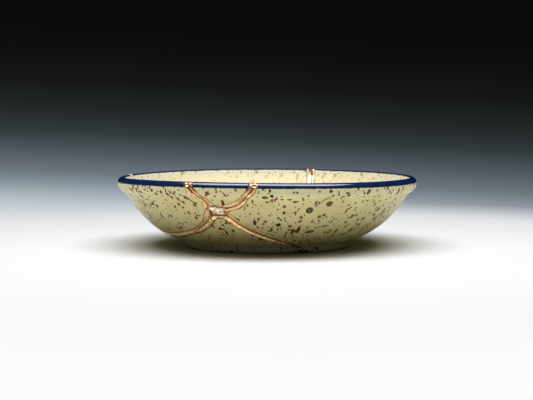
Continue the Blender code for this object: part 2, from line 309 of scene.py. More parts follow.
# %% [markdown]
# ## The breaks
# Each break is drawn on the dish laid flat: a point lies as far from the middle as the outside of the
# dish reaches along its section, and its third value is the width of the seam there. A break runs
# straight through the wall, from a line outside to a matched line inside.

# %% Guide lines of the breaks
REACH_OUT = 3.0 * MM
REACH_IN = 1.5 * MM
FLOOR_SHARES = (0.0, 0.3, 0.6, 0.85)
FOOT_EDGE = 3


def break_lines():
    """Matched lines outside and inside the dish: every break runs straight from one to the other."""
    over_the_foot = (
        (0.0, FOOT_LIFT),
        (FOOT_RADIUS - 2 * FOOT_WIDTH, FOOT_LIFT),
        (FOOT_RADIUS - FOOT_WIDTH, 0.0),
        (FOOT_RADIUS - FOOT_ROUND, 0.0),
        (FOOT_RADIUS, FOOT_LIFT),
    )
    past_the_floor = [FLOOR_EDGE + share * (FOOT_RADIUS - FLOOR_EDGE) for share in FLOOR_SHARES]
    outside = [Vector(point) for point in over_the_foot] + outer_wall()
    inside = [Vector((x, FLOOR_HEIGHT)) for x in (0.0, *past_the_floor)] + inner_wall()
    above = Vector((0.0, LIP / 2 + REACH_OUT))
    return outside + [outside[-1] + above], inside + [inside[-1] + above]


def reaches(line):
    """How far along a line each of its points lies."""
    along = [0.0]
    for before, after in zip(line, line[1:]):
        along.append(along[-1] + (after - before).length)
    return along


OUTSIDE, INSIDE = break_lines()
REACHES = reaches(OUTSIDE)
print("from middle to lip over the outside:", round(REACHES[-2] / MM, 1), "mm")


# %% Points on the laid-out dish
def on_wall(angle, height, width):
    """A point of a break on the outside of the foot or wall, from degrees and millimetres up."""
    below = [index for index in range(FOOT_EDGE, len(OUTSIDE) - 1) if OUTSIDE[index].y <= height * MM]
    index = below[-1]
    share = (height * MM - OUTSIDE[index].y) / (OUTSIDE[index + 1].y - OUTSIDE[index].y)
    reach = REACHES[index] + share * (REACHES[index + 1] - REACHES[index])
    return Vector((*slope(math.radians(angle), reach), width * MM))


def on_base(x, y, width):
    """A point of a break under the base, where the flat drawing is true to size, in millimetres."""
    return Vector((x, y, width)) * MM


def through(station):
    """Where a break leaves the outside and the inside of the dish at a station, in space."""
    reach = station.to_2d().length
    index = [i for i in range(len(REACHES) - 1) if REACHES[i] <= reach][-1]
    share = (reach - REACHES[index]) / (REACHES[index + 1] - REACHES[index])
    turn = Matrix.Rotation(math.atan2(station.y, station.x), 3, "Z")
    ends = [line[index].lerp(line[index + 1], share) for line in (OUTSIDE, INSIDE)]
    return [turn @ Vector((end.x, 0.0, end.y)) for end in ends]


# %% [markdown]
# Four breaks meet at a patch on the front of the wall. Two climb to the rim, one runs round the lower
# left wall to the back, and one crosses the foot and the floor to the rim opposite. Each point of a
# break is an angle, a height and the width of the seam there.

# %% The routes of the breaks
PATCH_ANGLE = -110.0
PATCH_HEIGHT = 28.4
PATCH_SEAM = 6.4


def stretch(put, *points):
    """A stretch of a break, with each point put on the wall or on the base."""
    return [put(*point) for point in points]


def break_routes():
    """The four breaks, each from the patch where they meet to the rim."""
    patch = stretch(on_wall, (PATCH_ANGLE, PATCH_HEIGHT, PATCH_SEAM))
    front_left = stretch(
        on_wall, (-113.0, 33.0, 7.0), (-114.6, 36.6, 5.4), (-116.5, 39.8, 4.8), (-117.8, 42.2, 5.2),
        (-118.4, 44.3, 5.6))
    front = stretch(
        on_wall, (-105.2, 31.1, 5.4), (-101.6, 32.9, 5.8), (-98.8, 35.7, 5.6), (-96.9, 39.3, 4.8),
        (-95.4, 42.5, 5.0), (-95.1, 44.3, 5.4))
    left = stretch(
        on_wall, (-113.2, 26.0, 8.4), (-114.9, 22.8, 7.2), (-117.8, 19.6, 6.4), (-122.0, 16.7, 5.6),
        (-128.5, 14.2, 5.0), (-137.0, 12.2, 4.6), (-152.0, 10.9, 4.0), (-166.0, 13.0, 3.6),
        (-179.0, 20.0, 3.6), (-188.0, 29.0, 4.0), (-193.5, 39.0, 4.2), (-193.0, 44.3, 4.4))
    down_the_front = stretch(
        on_wall, (-105.6, 25.0, 6.4), (-102.0, 20.5, 5.2), (-97.9, 16.7, 4.4), (-93.5, 13.7, 3.9),
        (-88.0, 10.8, 3.6), (-82.6, 8.6, 3.4), (-77.2, 6.8, 3.1), (-72.0, 4.7, 2.6),
        (-67.6, 3.0, 2.1), (-65.2, 1.2, 1.6))
    under_the_base = stretch(
        on_base, (23.6, -44.0, 1.6), (25.5, -22.0, 2.2), (28.0, 10.0, 2.6), (30.5, 42.0, 2.2))
    up_the_back = stretch(
        on_wall, (58.5, 5.2, 2.6), (65.0, 14.0, 3.6), (68.2, 27.0, 5.0), (69.6, 38.0, 5.8),
        (70.1, 44.3, 6.0))
    return {"front_left": patch + front_left, "front": patch + front, "left": patch + left,
            "across": patch + down_the_front + under_the_base + up_the_back}


ROUTES = break_routes()
print("points of each break:", {name: len(route) for name, route in ROUTES.items()})

# %% [markdown]
# A break in fired clay is never a clean curve, so each smooth line gets a fine wobble and a slightly
# uneven width. The wobble comes from a fixed noise, so it is the same every time.

# %% Stations along a break
STEP = 1.2 * MM
WOBBLE = 0.16 * MM
WOBBLE_SCALE = 1 / (4.0 * MM)
UNEVEN = 0.10
UNEVEN_SCALE = 1 / (7.0 * MM)
UNEVEN_SHIFT = Vector((0, 0, 5))
FADE_STATIONS = 6
STRAIGHT_END = 4


def smoothed(points):
    """A smooth line through the points of a break, with a station about every STEP."""
    stations = [points[0]]
    for index in range(len(points) - 1):
        start = points[index]
        end = points[index + 1]
        before = points[max(index - 1, 0)]
        after = points[min(index + 2, len(points) - 1)]
        facets = max(1, round((end - start).length / STEP))
        handles = (start, start + (end - before) / 6, end - (after - start) / 6, end)
        stations += interpolate_bezier(*handles, facets + 1)[1:]
    return stations


def roughened(stations):
    """The stations with the wobble and the uneven width of a real break."""
    rough = []
    for index, station in enumerate(stations):
        left = max(0, len(stations) - STRAIGHT_END - index)
        fade = min(1.0, index / FADE_STATIONS, left / FADE_STATIONS)
        place = station.to_2d().to_3d()
        shift = noise.noise_vector(place * WOBBLE_SCALE) * WOBBLE * fade
        swell = 1 + UNEVEN * fade * noise.noise(place * UNEVEN_SCALE + UNEVEN_SHIFT)
        rough.append(Vector((station.x + shift.x, station.y + shift.y, station.z * swell)))
    return rough


def over_the_rim(before, end, clearance):
    """The stations that carry a break on through the lip, the way it goes, to where lacquer caps it."""
    onward = (end - before).to_2d()
    rising = onward / onward.dot(end.to_2d().normalized())
    lifts = (-clearance, LIP / 4 - clearance, LIP / 2 + 0.5 * REACH_OUT)
    return [end + rising.to_3d() * lift for lift in lifts]


def break_stations(name, clearance):
    """All stations of a break, from the patch to above the lip."""
    stations = roughened(smoothed(ROUTES[name]))
    return stations[:-2] + over_the_rim(stations[-STRAIGHT_END - 1], stations[-1], clearance)


print("stations of each break:", {name: len(break_stations(name, 0.0)) for name in ROUTES})

# %% [markdown]
# The lacquer of one break is a loft: its section is a narrow crack with a wider mouth at each face of
# the wall. The section is made once as a face and extruded from station to station. Grown by a
# clearance, the same loft is the cutter that parts the sherds.

# %% The loft of one break
CRACK = 1.2 * MM
MOUTH_EDGE = 0.4 * MM
MOUTH_DEPTH = 1.3 * MM


def ring(outer, inner, travel, width, clearance):
    """The section of a break: a mouth of the full width on each side of a narrow crack."""
    depth = (outer - inner).normalized()
    across = depth.cross(travel).normalized()
    mouth = width / 2 + clearance
    capped = outer.z > RIM_HEIGHT - LIP / 2
    narrow = mouth if capped else CRACK / 2 + clearance
    edge = depth * (MOUTH_EDGE + clearance)
    throat = depth * (MOUTH_DEPTH + clearance)
    side = (
        (outer + depth * REACH_OUT, mouth),
        (outer - edge, mouth),
        (outer - throat, narrow),
        (inner + throat, narrow),
        (inner + edge, mouth),
        (inner - depth * REACH_IN, mouth),
    )
    right = [point + across * reach for point, reach in side]
    left = [point - across * reach for point, reach in reversed(side)]
    return right + left


def filling(name, clearance, collection, finish_index):
    """The lacquer of one break, grown by a clearance, as a loft that overshoots the dish all round."""
    stations = break_stations(name, clearance)
    ends = [through(station) for station in stations]
    bm = bmesh.new()
    tip = None
    for index, (before, (outer, inner), after) in enumerate(with_neighbours(ends)):
        travel = after[0] + after[1] - before[0] - before[1]
        places = ring(outer, inner, travel, stations[index].z, clearance)
        if tip is None:
            tip = bm.faces.new([bm.verts.new(place) for place in places])
            continue
        grown = bmesh.ops.extrude_face_region(bm, geom=[tip])
        if index > 1:
            bmesh.ops.delete(bm, geom=[tip], context="FACES_ONLY")
        tip = [item for item in grown["geom"] if isinstance(item, bmesh.types.BMFace)][0]
        for corner, place in zip(tip.verts, places):
            corner.co = place
    bmesh.ops.triangulate(bm, faces=bm.faces)
    return mesh_object("break_" + name, bm, collection, finish_index)


def break_tools(purpose, clearance, finish_index):
    """A collection of tools: the fillings of all the breaks, grown by a clearance."""
    tools = new_collection(purpose)
    for name in ROUTES:
        filling(name, clearance, tools, finish_index)
    return tools


# %% The patch and the chip
PATCH_WIDE = 7.4 * MM
PATCH_TALL = 5.3 * MM
PATCH_FACETS = 48
CHIP_ANGLE = math.radians(-62.9)
CHIP_RADIUS = 1.4 * MM
CHIP_SHIFT = 0.2 * CHIP_RADIUS
CHIP_ROUGH = 0.12
CHIP_LUMPS = 2.5 / CHIP_RADIUS


def patch_core(clearance, collection, finish_index):
    """The oval patch where the breaks meet, right through the wall."""
    outer, inner = through(on_wall(PATCH_ANGLE, PATCH_HEIGHT, 0.0))
    depth = outer - inner
    reach = depth.length + 2 * REACH_IN
    size = Vector((PATCH_WIDE + clearance, PATCH_TALL + clearance, 1.0))
    bm = bmesh.new()
    bmesh.ops.create_cone(bm, cap_ends=True, segments=PATCH_FACETS, radius1=1.0, radius2=1.0, depth=reach)
    bmesh.ops.scale(bm, verts=bm.verts, vec=size)
    bmesh.ops.rotate(bm, verts=bm.verts, matrix=depth.to_track_quat("Z", "Y").to_matrix())
    bmesh.ops.translate(bm, verts=bm.verts, vec=(outer + inner) / 2)
    return mesh_object("patch_core", bm, collection, finish_index)


def foot_chip(collection, finish_index):
    """The rough hollow left by the chip in the foot's edge."""
    bm = bmesh.new()
    bmesh.ops.create_icosphere(bm, subdivisions=4, radius=CHIP_RADIUS)
    for vertex in bm.verts:
        vertex.co *= 1 + CHIP_ROUGH * noise.noise(vertex.co * CHIP_LUMPS)
    place = slope(CHIP_ANGLE, FOOT_RADIUS + CHIP_SHIFT)
    bmesh.ops.translate(bm, verts=bm.verts, vec=(*place, CHIP_SHIFT))
    return mesh_object("foot_chip", bm, collection, finish_index)


print("patch", round(2 * PATCH_WIDE / MM, 1), "by", round(2 * PATCH_TALL / MM, 1), "mm")

# %% [markdown]
# ## The sherds
# One exact Boolean parts the dish along every break, and the loose parts are the sherds. The faces
# that a cutter leaves keep the cutter's finish index, so that broken clay can look different from
# glaze. Each sherd then takes the place of the solid with the same stretch of rim.

# %% Parting the dish
GAP = 0.15 * MM
GLAZE_INDEX, CLAY_INDEX, LACQUER_AND_SHADE_INDEX = range(3)
SHERD_RIMS = {"front": -107, "left": -165, "back": 120, "right": 0}


def parted(solid):
    """The loose parts of a solid, each as its own object, the smallest first."""
    bpy.ops.object.select_all(action="DESELECT")
    bpy.context.view_layer.objects.active = solid
    solid.select_set(True)
    bpy.ops.object.mode_set(mode="EDIT")
    bpy.ops.mesh.select_all(action="SELECT")
    bpy.ops.mesh.separate(type="LOOSE")
    bpy.ops.object.mode_set(mode="OBJECT")
    return sorted(bpy.context.selected_objects, key=lambda part: len(part.data.vertices))


def nearest_sherd(sherds, angle):
    """The sherd that comes nearest to a point of the rim."""
    rim = Vector((*slope(math.radians(angle), RIM_RADIUS), LIP_START.y))
    return min(sherds, key=lambda sherd: min((v.co - rim).length for v in sherd.data.vertices))


whole_dish = dish.copy()
whole_dish.data = dish.data.copy()
cuts = break_tools("breaks", GAP, LACQUER_AND_SHADE_INDEX)
patch_core(GAP, cuts, LACQUER_AND_SHADE_INDEX)
# the chip's hollow takes the near-black lacquer finish: painted shade
foot_chip(cuts, LACQUER_AND_SHADE_INDEX)
loose = parted(combined(dish, "DIFFERENCE", cuts))
sherds = {name: nearest_sherd(loose, angle) for name, angle in SHERD_RIMS.items()}
for name, sherd in sherds.items():
    sherd.name = "glazed_" + name
    print(sherd.name, "of", len(sherd.data.polygons), "faces")

# %% [markdown]
# ## Where a point lies on the dish
# The glaze changes along the section, for instance in the cobalt line on the lip, and the gold bead
# stands on the glaze. Both need to know where the nearest point of the section is, so one function
# answers that for many points at once: how far along the section from the crest of the lip, how far
# out of the clay, and which way is out.

# %% Nearest point of the section
SECTION_LINE = np.array([tuple(point) for point in SECTION])
SECTION_STEPS = np.diff(SECTION_LINE, axis=0)
SECTION_LENGTHS = np.hypot(*SECTION_STEPS.T)
SECTION_ALONG = np.concatenate(([0.0], np.cumsum(SECTION_LENGTHS)))
CREST_ALONG = SECTION_ALONG[int(np.argmax(SECTION_LINE[:, 1]))]


def places_of(piece):
    """The places of a piece's vertices, as rows of three numbers."""
    flat = np.zeros(len(piece.data.vertices) * 3)
    piece.data.vertices.foreach_get("co", flat)
    return flat.reshape(-1, 3)


def on_section(places):
    """For each place: the distance from the crest, the distance out of the clay, and the way out."""
    flat = np.column_stack((np.hypot(places[:, 0], places[:, 1]), places[:, 2]))
    nearest = np.full(len(flat), np.inf)
    from_crest, out_of_clay = np.zeros((2, len(flat)))
    way_out = np.zeros((len(flat), 2))
    for start, step, length, along in zip(SECTION_LINE, SECTION_STEPS, SECTION_LENGTHS, SECTION_ALONG):
        share = np.clip((flat - start) @ step / length**2, 0.0, 1.0)
        offset = flat - start - share[:, None] * step
        distance = np.hypot(*offset.T)
        closer = distance < nearest
        normal = np.array((-step[1], step[0])) / length
        nearest[closer] = distance[closer]
        from_crest[closer] = (along + share * length - CREST_ALONG)[closer]
        out_of_clay[closer] = (np.sign(offset @ normal) * distance)[closer]
        way_out[closer] = normal
    return from_crest, out_of_clay, way_out


def remember(piece, name, values):
    """Keeps one number for each vertex of a piece, for its finish to read."""
    attribute = piece.data.attributes.new(name, "FLOAT", "POINT")
    attribute.data.foreach_set("value", values.astype(np.float32))


for sherd in sherds.values():
    remember(sherd, "from_crest", on_section(places_of(sherd))[0])
print("crest of the lip", round(CREST_ALONG / MM, 1), "mm along the section")

# %% [markdown]
# ## The gilded lacquer
# The lacquer first fills every break flush with the glaze: the fillings joined together, and kept to
# the solid of the dish. Then it is raised to a bead. A voxel remesh gives it an even skin, and every
# point of the skin rises with its distance from the seam's edge, as a drop of lacquer does. Where
# the beads meet, the distance to the edge makes them flow into each other.

# %% Filling the breaks
def flush_lacquer(body):
    """The fillings and the patch as one solid, flush with the dish."""
    fillings = break_tools("fillings", 0.0, GLAZE_INDEX)
    limits = new_collection("limits")
    limits.objects.link(body)
    chips = new_collection("chips")
    foot_chip(chips, GLAZE_INDEX)
    lacquer = combined(patch_core(0.0, pieces, GLAZE_INDEX), "UNION", fillings)
    lacquer = combined(lacquer, "INTERSECT", limits)
    return combined(lacquer, "DIFFERENCE", chips)


flush = flush_lacquer(whole_dish)
print("flush lacquer of", len(flush.data.polygons), "faces")

# %% The outline of the seams
OUTLINE_STEP = 0.2 * MM
OUTLINE_ANGLE = math.radians(40)
ON_GLAZE = 0.03 * MM


def search_tree(places):
    """A tree that finds the nearest of many places."""
    tree = kdtree.KDTree(len(places))
    for index, place in enumerate(places):
        tree.insert(place, index)
    tree.balance()
    return tree


def outline_places(piece):
    """Places along the edges where the lacquer meets the glaze."""
    bm = bmesh.new()
    bm.from_mesh(piece.data)
    out_of_clay = on_section(places_of(piece))[1]
    places = []
    for edge in bm.edges:
        start, end = edge.verts
        on_skin = max(abs(out_of_clay[start.index]), abs(out_of_clay[end.index])) < ON_GLAZE
        if on_skin and len(edge.link_faces) == 2 and edge.calc_face_angle() > OUTLINE_ANGLE:
            count = math.ceil(edge.calc_length() / OUTLINE_STEP)
            places += [start.co.lerp(end.co, step / count) for step in range(count + 1)]
    bm.free()
    return places


def seam_stations():
    """On both faces of the wall: a seam's middle, way across, half width, name and share of its run."""
    known = []
    for name in ROUTES:
        line = break_stations(name, 0.0)
        ends = [through(station) for station in line]
        for index, (before, (outer, inner), after) in enumerate(with_neighbours(ends)):
            for face, place in enumerate((outer, inner)):
                across = (outer - inner).cross(after[face] - before[face]).normalized()
                known.append((place, across, line[index].z / 2, name, index / len(line)))
    return known


outline = search_tree(outline_places(flush))
known_stations = seam_stations()
stations = search_tree([station[0] for station in known_stations])
print("seams known at", len(known_stations), "stations")

# %% [markdown]
# The gold isn't the same all along. On the front it lies thick in a strand along one side of each
# seam, fullest at its lower edge, where it sagged before it set. The other side was rubbed down to
# brown lacquer, with a groove between the two that is painted dark as shade. The caps on the lip are
# patchy, with pale spots painted as highlight, and inside the back wall the pale filler was left with
# no gold. A place across a seam runs from -1 to 1.

# %% Strands of the gold
STRANDS = {
    # where its middle starts and ends, its half width, where the groove is, dullness, rise in mm
    "front_left": (0.45, 0.45, 0.50, -0.12, 0.50, 0.55),
    "front": (-0.48, -0.45, 0.48, 0.06, 0.35, 0.55),
    "left": (0.50, 0.05, 0.46, -0.10, 0.65, 0.65),
    "across": (-0.35, -0.02, 0.32, 0.20, 0.75, 0.80),
}
STRAND_TURNS = (0.08, 0.24)
STRAND_EDGE = (1.2, 0.8)
STRAND_SAG = 0.6
GROOVE_EDGE = (0.15, 0.04)
NEVER_ENDS = (2.0, 1.0)
NEVER_STARTS = (1.0, 2.0)
STRAND_ENDS = {"left": (0.60, 0.45), "across": (0.36, 0.30)}
GROOVE_ENDS = {"left": (0.30, 0.16), "across": (0.14, 0.05)}
BORDER_STARTS = {"left": (0.24, 0.34), "across": (0.09, 0.18)}
BORDER_DARK = 0.65
WORN_AT_PATCH = 0.35
WORN_GROWS = (0.02, 0.14)
WORN_FOOT = 1.6 * MM
RAGGED_SCALE = 0.7 / MM
RAGGED_FINE = 1.6 / MM
RAGGED_REACH = 0.08
CAP_MIDDLE = 1.4 * MM
CAP_EDGE = (3.4 * MM, 2.38 * MM)
CAP_WORN = 0.75
CAP_DARK = 0.8
CAP_DARK_SPOTS = (-0.05, -0.30)
# pale spots on the caps are a painted highlight
CAP_PAINTED_HIGHLIGHT = 0.56
CAP_HIGHLIGHT_SPOTS = (-0.05, 0.25)


def soft_step(value, start, end):
    """A soft step of a number: 0 at the start and 1 at the end, which may be the lower of the two."""
    share = min(1.0, max(0.0, (value - start) / (end - start)))
    return share * share * (3 - 2 * share)


def strand_marks(name, share, side, from_crest, ragged):
    """How worn, dark and pale a seam is where it has a strand, and how far the strand rises."""
    first, last, half, groove_side, dullness, rise = STRANDS[name]
    middle = first + (last - first) * soft_step(share, *STRAND_TURNS)
    off_middle = (side - middle) / half
    strand = soft_step(abs(off_middle), *STRAND_EDGE)
    off_middle = min(1.0, max(-1.0, off_middle))
    ridge = math.sqrt(1 - off_middle ** 2) * (1 + math.copysign(STRAND_SAG, first) * off_middle)
    # the groove is painted dark: painted shade
    groove = soft_step(abs(side - groove_side), *GROOVE_EDGE)
    groove *= soft_step(share, *GROOVE_ENDS.get(name, NEVER_ENDS))
    groove += BORDER_DARK * (1 - strand) * soft_step(share, *BORDER_STARTS.get(name, NEVER_STARTS))
    starts = WORN_AT_PATCH + (1 - WORN_AT_PATCH) * soft_step(share, *WORN_GROWS)
    cap = soft_step(abs(from_crest - CAP_MIDDLE), *CAP_EDGE)
    plain = soft_step(share, *STRAND_ENDS.get(name, NEVER_ENDS)) * (1 - cap)
    # pale on the caps: a painted highlight
    pale = CAP_PAINTED_HIGHLIGHT * cap * soft_step(ragged, *CAP_HIGHLIGHT_SPOTS)
    cap_dark = CAP_DARK * cap * soft_step(ragged, *CAP_DARK_SPOTS)
    worn = (1 - strand) * dullness * starts * plain + CAP_WORN * cap
    return worn, groove * plain + cap_dark, pale, rise * MM * ridge * plain


# %% Seams of the back wall
BACK_STARTS = {"left": (0.80, 0.86), "across": (0.72, 0.78)}
BACK_PALE = 0.56
BACK_INSIDE = (4.0 * MM, 1.0 * MM)
BACK_GROOVE = 0.28
BACK_GROOVE_EDGE = (0.30, 0.14)
BACK_LIP = (3.0 * MM, 1.8 * MM)
BACK_LIP_MIDDLE = -0.1
BACK_LIP_EDGE = (0.55, 0.35)
BACK_LIP_DARK = 0.8


def back_marks(name, share, side, from_crest):
    """The same for a seam of the back wall: pale inside, and brown in the groove of the right one."""
    inside = soft_step(share, *BACK_STARTS[name]) * soft_step(from_crest, *BACK_INSIDE)
    if name == "left":
        return 0.0, 0.0, BACK_PALE * inside, 0.0
    groove = soft_step(abs(side - BACK_GROOVE), *BACK_GROOVE_EDGE)
    lip = soft_step(abs(from_crest), *BACK_LIP)
    lip *= soft_step(abs(side - BACK_LIP_MIDDLE), *BACK_LIP_EDGE)
    brown = inside * max(groove, lip)
    return brown, BACK_LIP_DARK * lip, BACK_PALE * (inside - brown), 0.0


def seam_marks(name, share, side, place, from_crest):
    """How worn, dark and pale a seam is at a point, and how far its strand rises there."""
    ragged = noise.noise(place * RAGGED_SCALE) + 0.5 * noise.noise(place * RAGGED_FINE)
    side += RAGGED_REACH * ragged
    if name == "across" and place.z < WORN_FOOT:
        return 1.0, 0.0, 0.0, 0.0
    if name in BACK_STARTS and share > BACK_STARTS[name][0]:
        return back_marks(name, share, side, from_crest)
    return strand_marks(name, share, side, from_crest, ragged)


print("strands on", len(STRANDS), "seams, filler inside", len(BACK_STARTS))

# %% [markdown]
# At the patch, lacquer pooled round two raised lumps, painted pale with some metal as a painted
# highlight. A pit lies beside them, painted dark as painted shade, and dark lines run round them.
# Each mark is drawn on the patch in millimetres to the right and up the wall, from one point to
# another, with a radius, a rise and a tone.

# %% Marks on the patch
WORN, DARK, PALE = range(3)
PATCH_MARKS = (
    # the two lumps: pale as a painted highlight
    (-2.7, 4.0, -1.9, 2.8, 1.5, 1.0, PALE),
    (0.7, 1.1, 3.5, 0.9, 1.8, 1.1, PALE),
    # the pit: dark as painted shade
    (-4.1, 0.6, -4.3, -2.8, 1.1, -0.7, DARK),
    (-4.4, -3.0, -5.3, -6.0, 0.6, -0.3, DARK),
    (-3.6, -2.4, 6.2, -2.4, 0.65, -0.3, DARK),
    (-2.2, 5.2, 0.9, 3.8, 0.5, -0.2, DARK),
    (0.9, 3.8, 8.0, 3.5, 0.5, -0.2, DARK),
    (3.2, 1.2, 4.8, 1.4, 0.5, -0.2, DARK),
    (-4.7, 5.9, -5.6, 1.0, 0.5, -0.1, WORN),
    (5.2, 0.8, 6.6, -2.6, 1.1, 0.0, WORN),
)
MARK_EDGE = (1.1, 0.5)
MARK_RAGGED = 0.5 * MM
MARK_SCALE = 0.9 / MM
LUMP_SAG = 0.55
PATCH_DIP = 0.25 * MM
PATCH_WORN = 0.4
PATCH_MIDDLE = (0.8, 0.4)
PATCH_ENDS = (0.8, 1.1)


def patch_place(place):
    """Where a point lies on the patch: to the right and up, and its distance as a share of the oval."""
    outer, inner = through(on_wall(PATCH_ANGLE, PATCH_HEIGHT, 0.0))
    turn = math.radians(PATCH_ANGLE)
    right = Vector((-math.sin(turn), math.cos(turn), 0.0))
    up = (outer - inner).normalized().cross(right)
    offset = place - outer
    flat = Vector((offset.dot(right), offset.dot(up)))
    return flat, math.hypot(flat.x / PATCH_WIDE, flat.y / PATCH_TALL)


def patch_marks(place):
    """How far the marks of the patch lift a point, and how worn, dark and pale they make it."""
    flat, share = patch_place(place)
    flat += (noise.noise_vector(place * MARK_SCALE) * MARK_RAGGED).to_2d()
    pooled = soft_step(share, *PATCH_MIDDLE)
    lift = -PATCH_DIP * pooled
    tones = [PATCH_WORN * pooled, 0.0, 0.0]
    for x, y, end_x, end_y, radius, rise, tone in PATCH_MARKS:
        start = Vector((x, y)) * MM
        along = Vector((end_x, end_y)) * MM - start
        spot = start + along * min(1.0, max(0.0, (flat - start).dot(along) / along.length_squared))
        strength = soft_step((flat - spot).length / (radius * MM), *MARK_EDGE)
        sag = LUMP_SAG * (spot - flat).y if tone == PALE else 0.0
        lift += (rise * MM + sag) * strength
        tones[tone] = max(tones[tone], strength)
    return lift, tones, share


def marks_at(place, from_crest, side, name, share):
    """The lift by marks, and how worn, dark and pale the gold is, on a seam or on the patch."""
    lift, tones, patch_share = patch_marks(place)
    beyond = soft_step(patch_share, *PATCH_ENDS)
    *seam_tones, strand = seam_marks(name, share, side, place, from_crest)
    tones = [max(tone, beyond * seam_tone) for tone, seam_tone in zip(tones, seam_tones)]
    return lift + strand * beyond, tones


print("patch with", len(PATCH_MARKS), "marks")

# %% [markdown]
# The skin of squares can leave loose crumbs in tight corners, and only its largest part is kept. The
# bead is lowest where it was wiped over the lip, and it never reaches below the ground.

# %% Raising the bead
VOXEL = 0.36 * MM
BEAD_SHARE = 0.18
BEAD_MOST = 0.36 * MM
BEAD_SQUARE = 0.8
LIP_WIPED = 0.6
LIP_REACH = 4.0 * MM
WORN_DEPTH = 0.35
DARK_DEPTH = 0.5
SKIN_DEPTH = 0.35 * MM
GROUND_CLEARANCE = 0.05 * MM
LUMP = 0.16
LUMP_SCALE = 1 / (2.2 * MM)


def even_skin(piece):
    """The piece with a skin of small squares, in one part."""
    remesh = piece.modifiers.new("Even skin", "REMESH")
    remesh.mode = "VOXEL"
    remesh.voxel_size = VOXEL
    *crumbs, largest = parted(settled(piece))
    print("crumbs swept off:", len(crumbs))
    for crumb in crumbs:
        bpy.data.objects.remove(crumb)
    return largest


def bead_rise(inward, half_width, from_crest, place, tones):
    """How far the bead stands above its edge at a point."""
    dome = (1 - (1 - inward) ** 2) ** BEAD_SQUARE
    lumps = 1 + LUMP * noise.noise(place * LUMP_SCALE)
    wiped = 1 - LIP_WIPED * soft_step(abs(from_crest), LIP_REACH, 0.0)
    sunk = 1 - WORN_DEPTH * tones[WORN] - DARK_DEPTH * tones[DARK]
    return min(BEAD_SHARE * half_width, BEAD_MOST) * dome * lumps * wiped * sunk


def raise_bead(piece):
    """Lifts the skin of the lacquer into a rounded bead, and keeps what its finish needs to know."""
    places = places_of(piece)
    from_crest, out_of_clay, way_out = on_section(places)
    inward, *tones = np.zeros((4, len(places)))
    for index, row in enumerate(places):
        place = Vector(row)
        centre, across, half_width, name, share = known_stations[stations.find(place)[1]]
        side = (place - centre).dot(across) / half_width
        inward[index] = min(1.0, outline.find(place)[2] / half_width)
        lift, marks = marks_at(place, from_crest[index], side, name, share)
        for tone, mark in zip(tones, marks):
            tone[index] = mark
        rise = lift + bead_rise(inward[index], half_width, from_crest[index], place, marks)
        skin = min(1.0, max(0.0, 1 + out_of_clay[index] / SKIN_DEPTH))
        level, up = way_out[index]
        outward = Vector((*place.to_2d().normalized() * level, up))
        places[index] += np.array(outward * rise * skin)
    places[:, 2] = np.maximum(places[:, 2], GROUND_CLEARANCE)
    piece.data.vertices.foreach_set("co", places.ravel())
    for name, values in zip(("inward", "worn", "dark", "pale"), (inward, *tones)):
        remember(piece, name, values)


gold = even_skin(flush)
gold.name = "gilded_seams"
raise_bead(gold)
print("gold of", len(gold.data.polygons), "faces")

# %% [markdown]
# ## The rim's waves
# A thrown rim is never quite level. The same three gentle waves lift the fine pieces as lift the
# solids, so that they stay in step.

# %% Waves
RIM_WAVES = (
    (1, 0.13 * MM, math.radians(180)),
    (2, 0.39 * MM, math.radians(78)),
    (3, 0.16 * MM, math.radians(-3)),
)


def wave(piece):
    """Lifts a piece towards the rim by the waves of a hand-thrown rim."""
    places = places_of(piece)
    angles = np.arctan2(places[:, 1], places[:, 0])
    lift = sum(height * np.cos(count * (angles - crest)) for count, height, crest in RIM_WAVES)
    places[:, 2] += places[:, 2] / RIM_HEIGHT * lift
    piece.data.vertices.foreach_set("co", places.ravel())
    piece.data.update()


for piece in (*sherds.values(), gold):
    wave(piece)
    print(piece.name, "waved")


# %% [markdown]
# ## Writing finishes as formulas
# A finish is a web of small sums. Wrapping a node's output in a class with operators lets those sums
# be written as Python expressions, and one method makes every other node.

# %% A formula for a finish
def plug(tree, socket, value):
    """Feeds a socket from a wire, or sets it to a plain value."""
    if isinstance(value, Wire):
        tree.links.new(value.socket, socket)
    else:
        socket.default_value = value


def new_node(tree, kind, settings, inputs, output=0):
    """A node of a kind: first its settings, then the values or wires of its sockets."""
    made = tree.nodes.new("ShaderNode" + kind)
    for name, value in settings.items():
        setattr(made, name, value)
    for name, value in inputs.items():
        plug(tree, made.inputs[name], value)
    return Wire(tree, made.outputs[output])


def sum_by(operation, swapped=False):
    """A method that joins a wire and another value by one operation."""
    def joined(self, other):
        sides = (other, self) if swapped else (self, other)
        return self.node("Math", {"operation": operation}, dict(enumerate(sides)))
    return joined


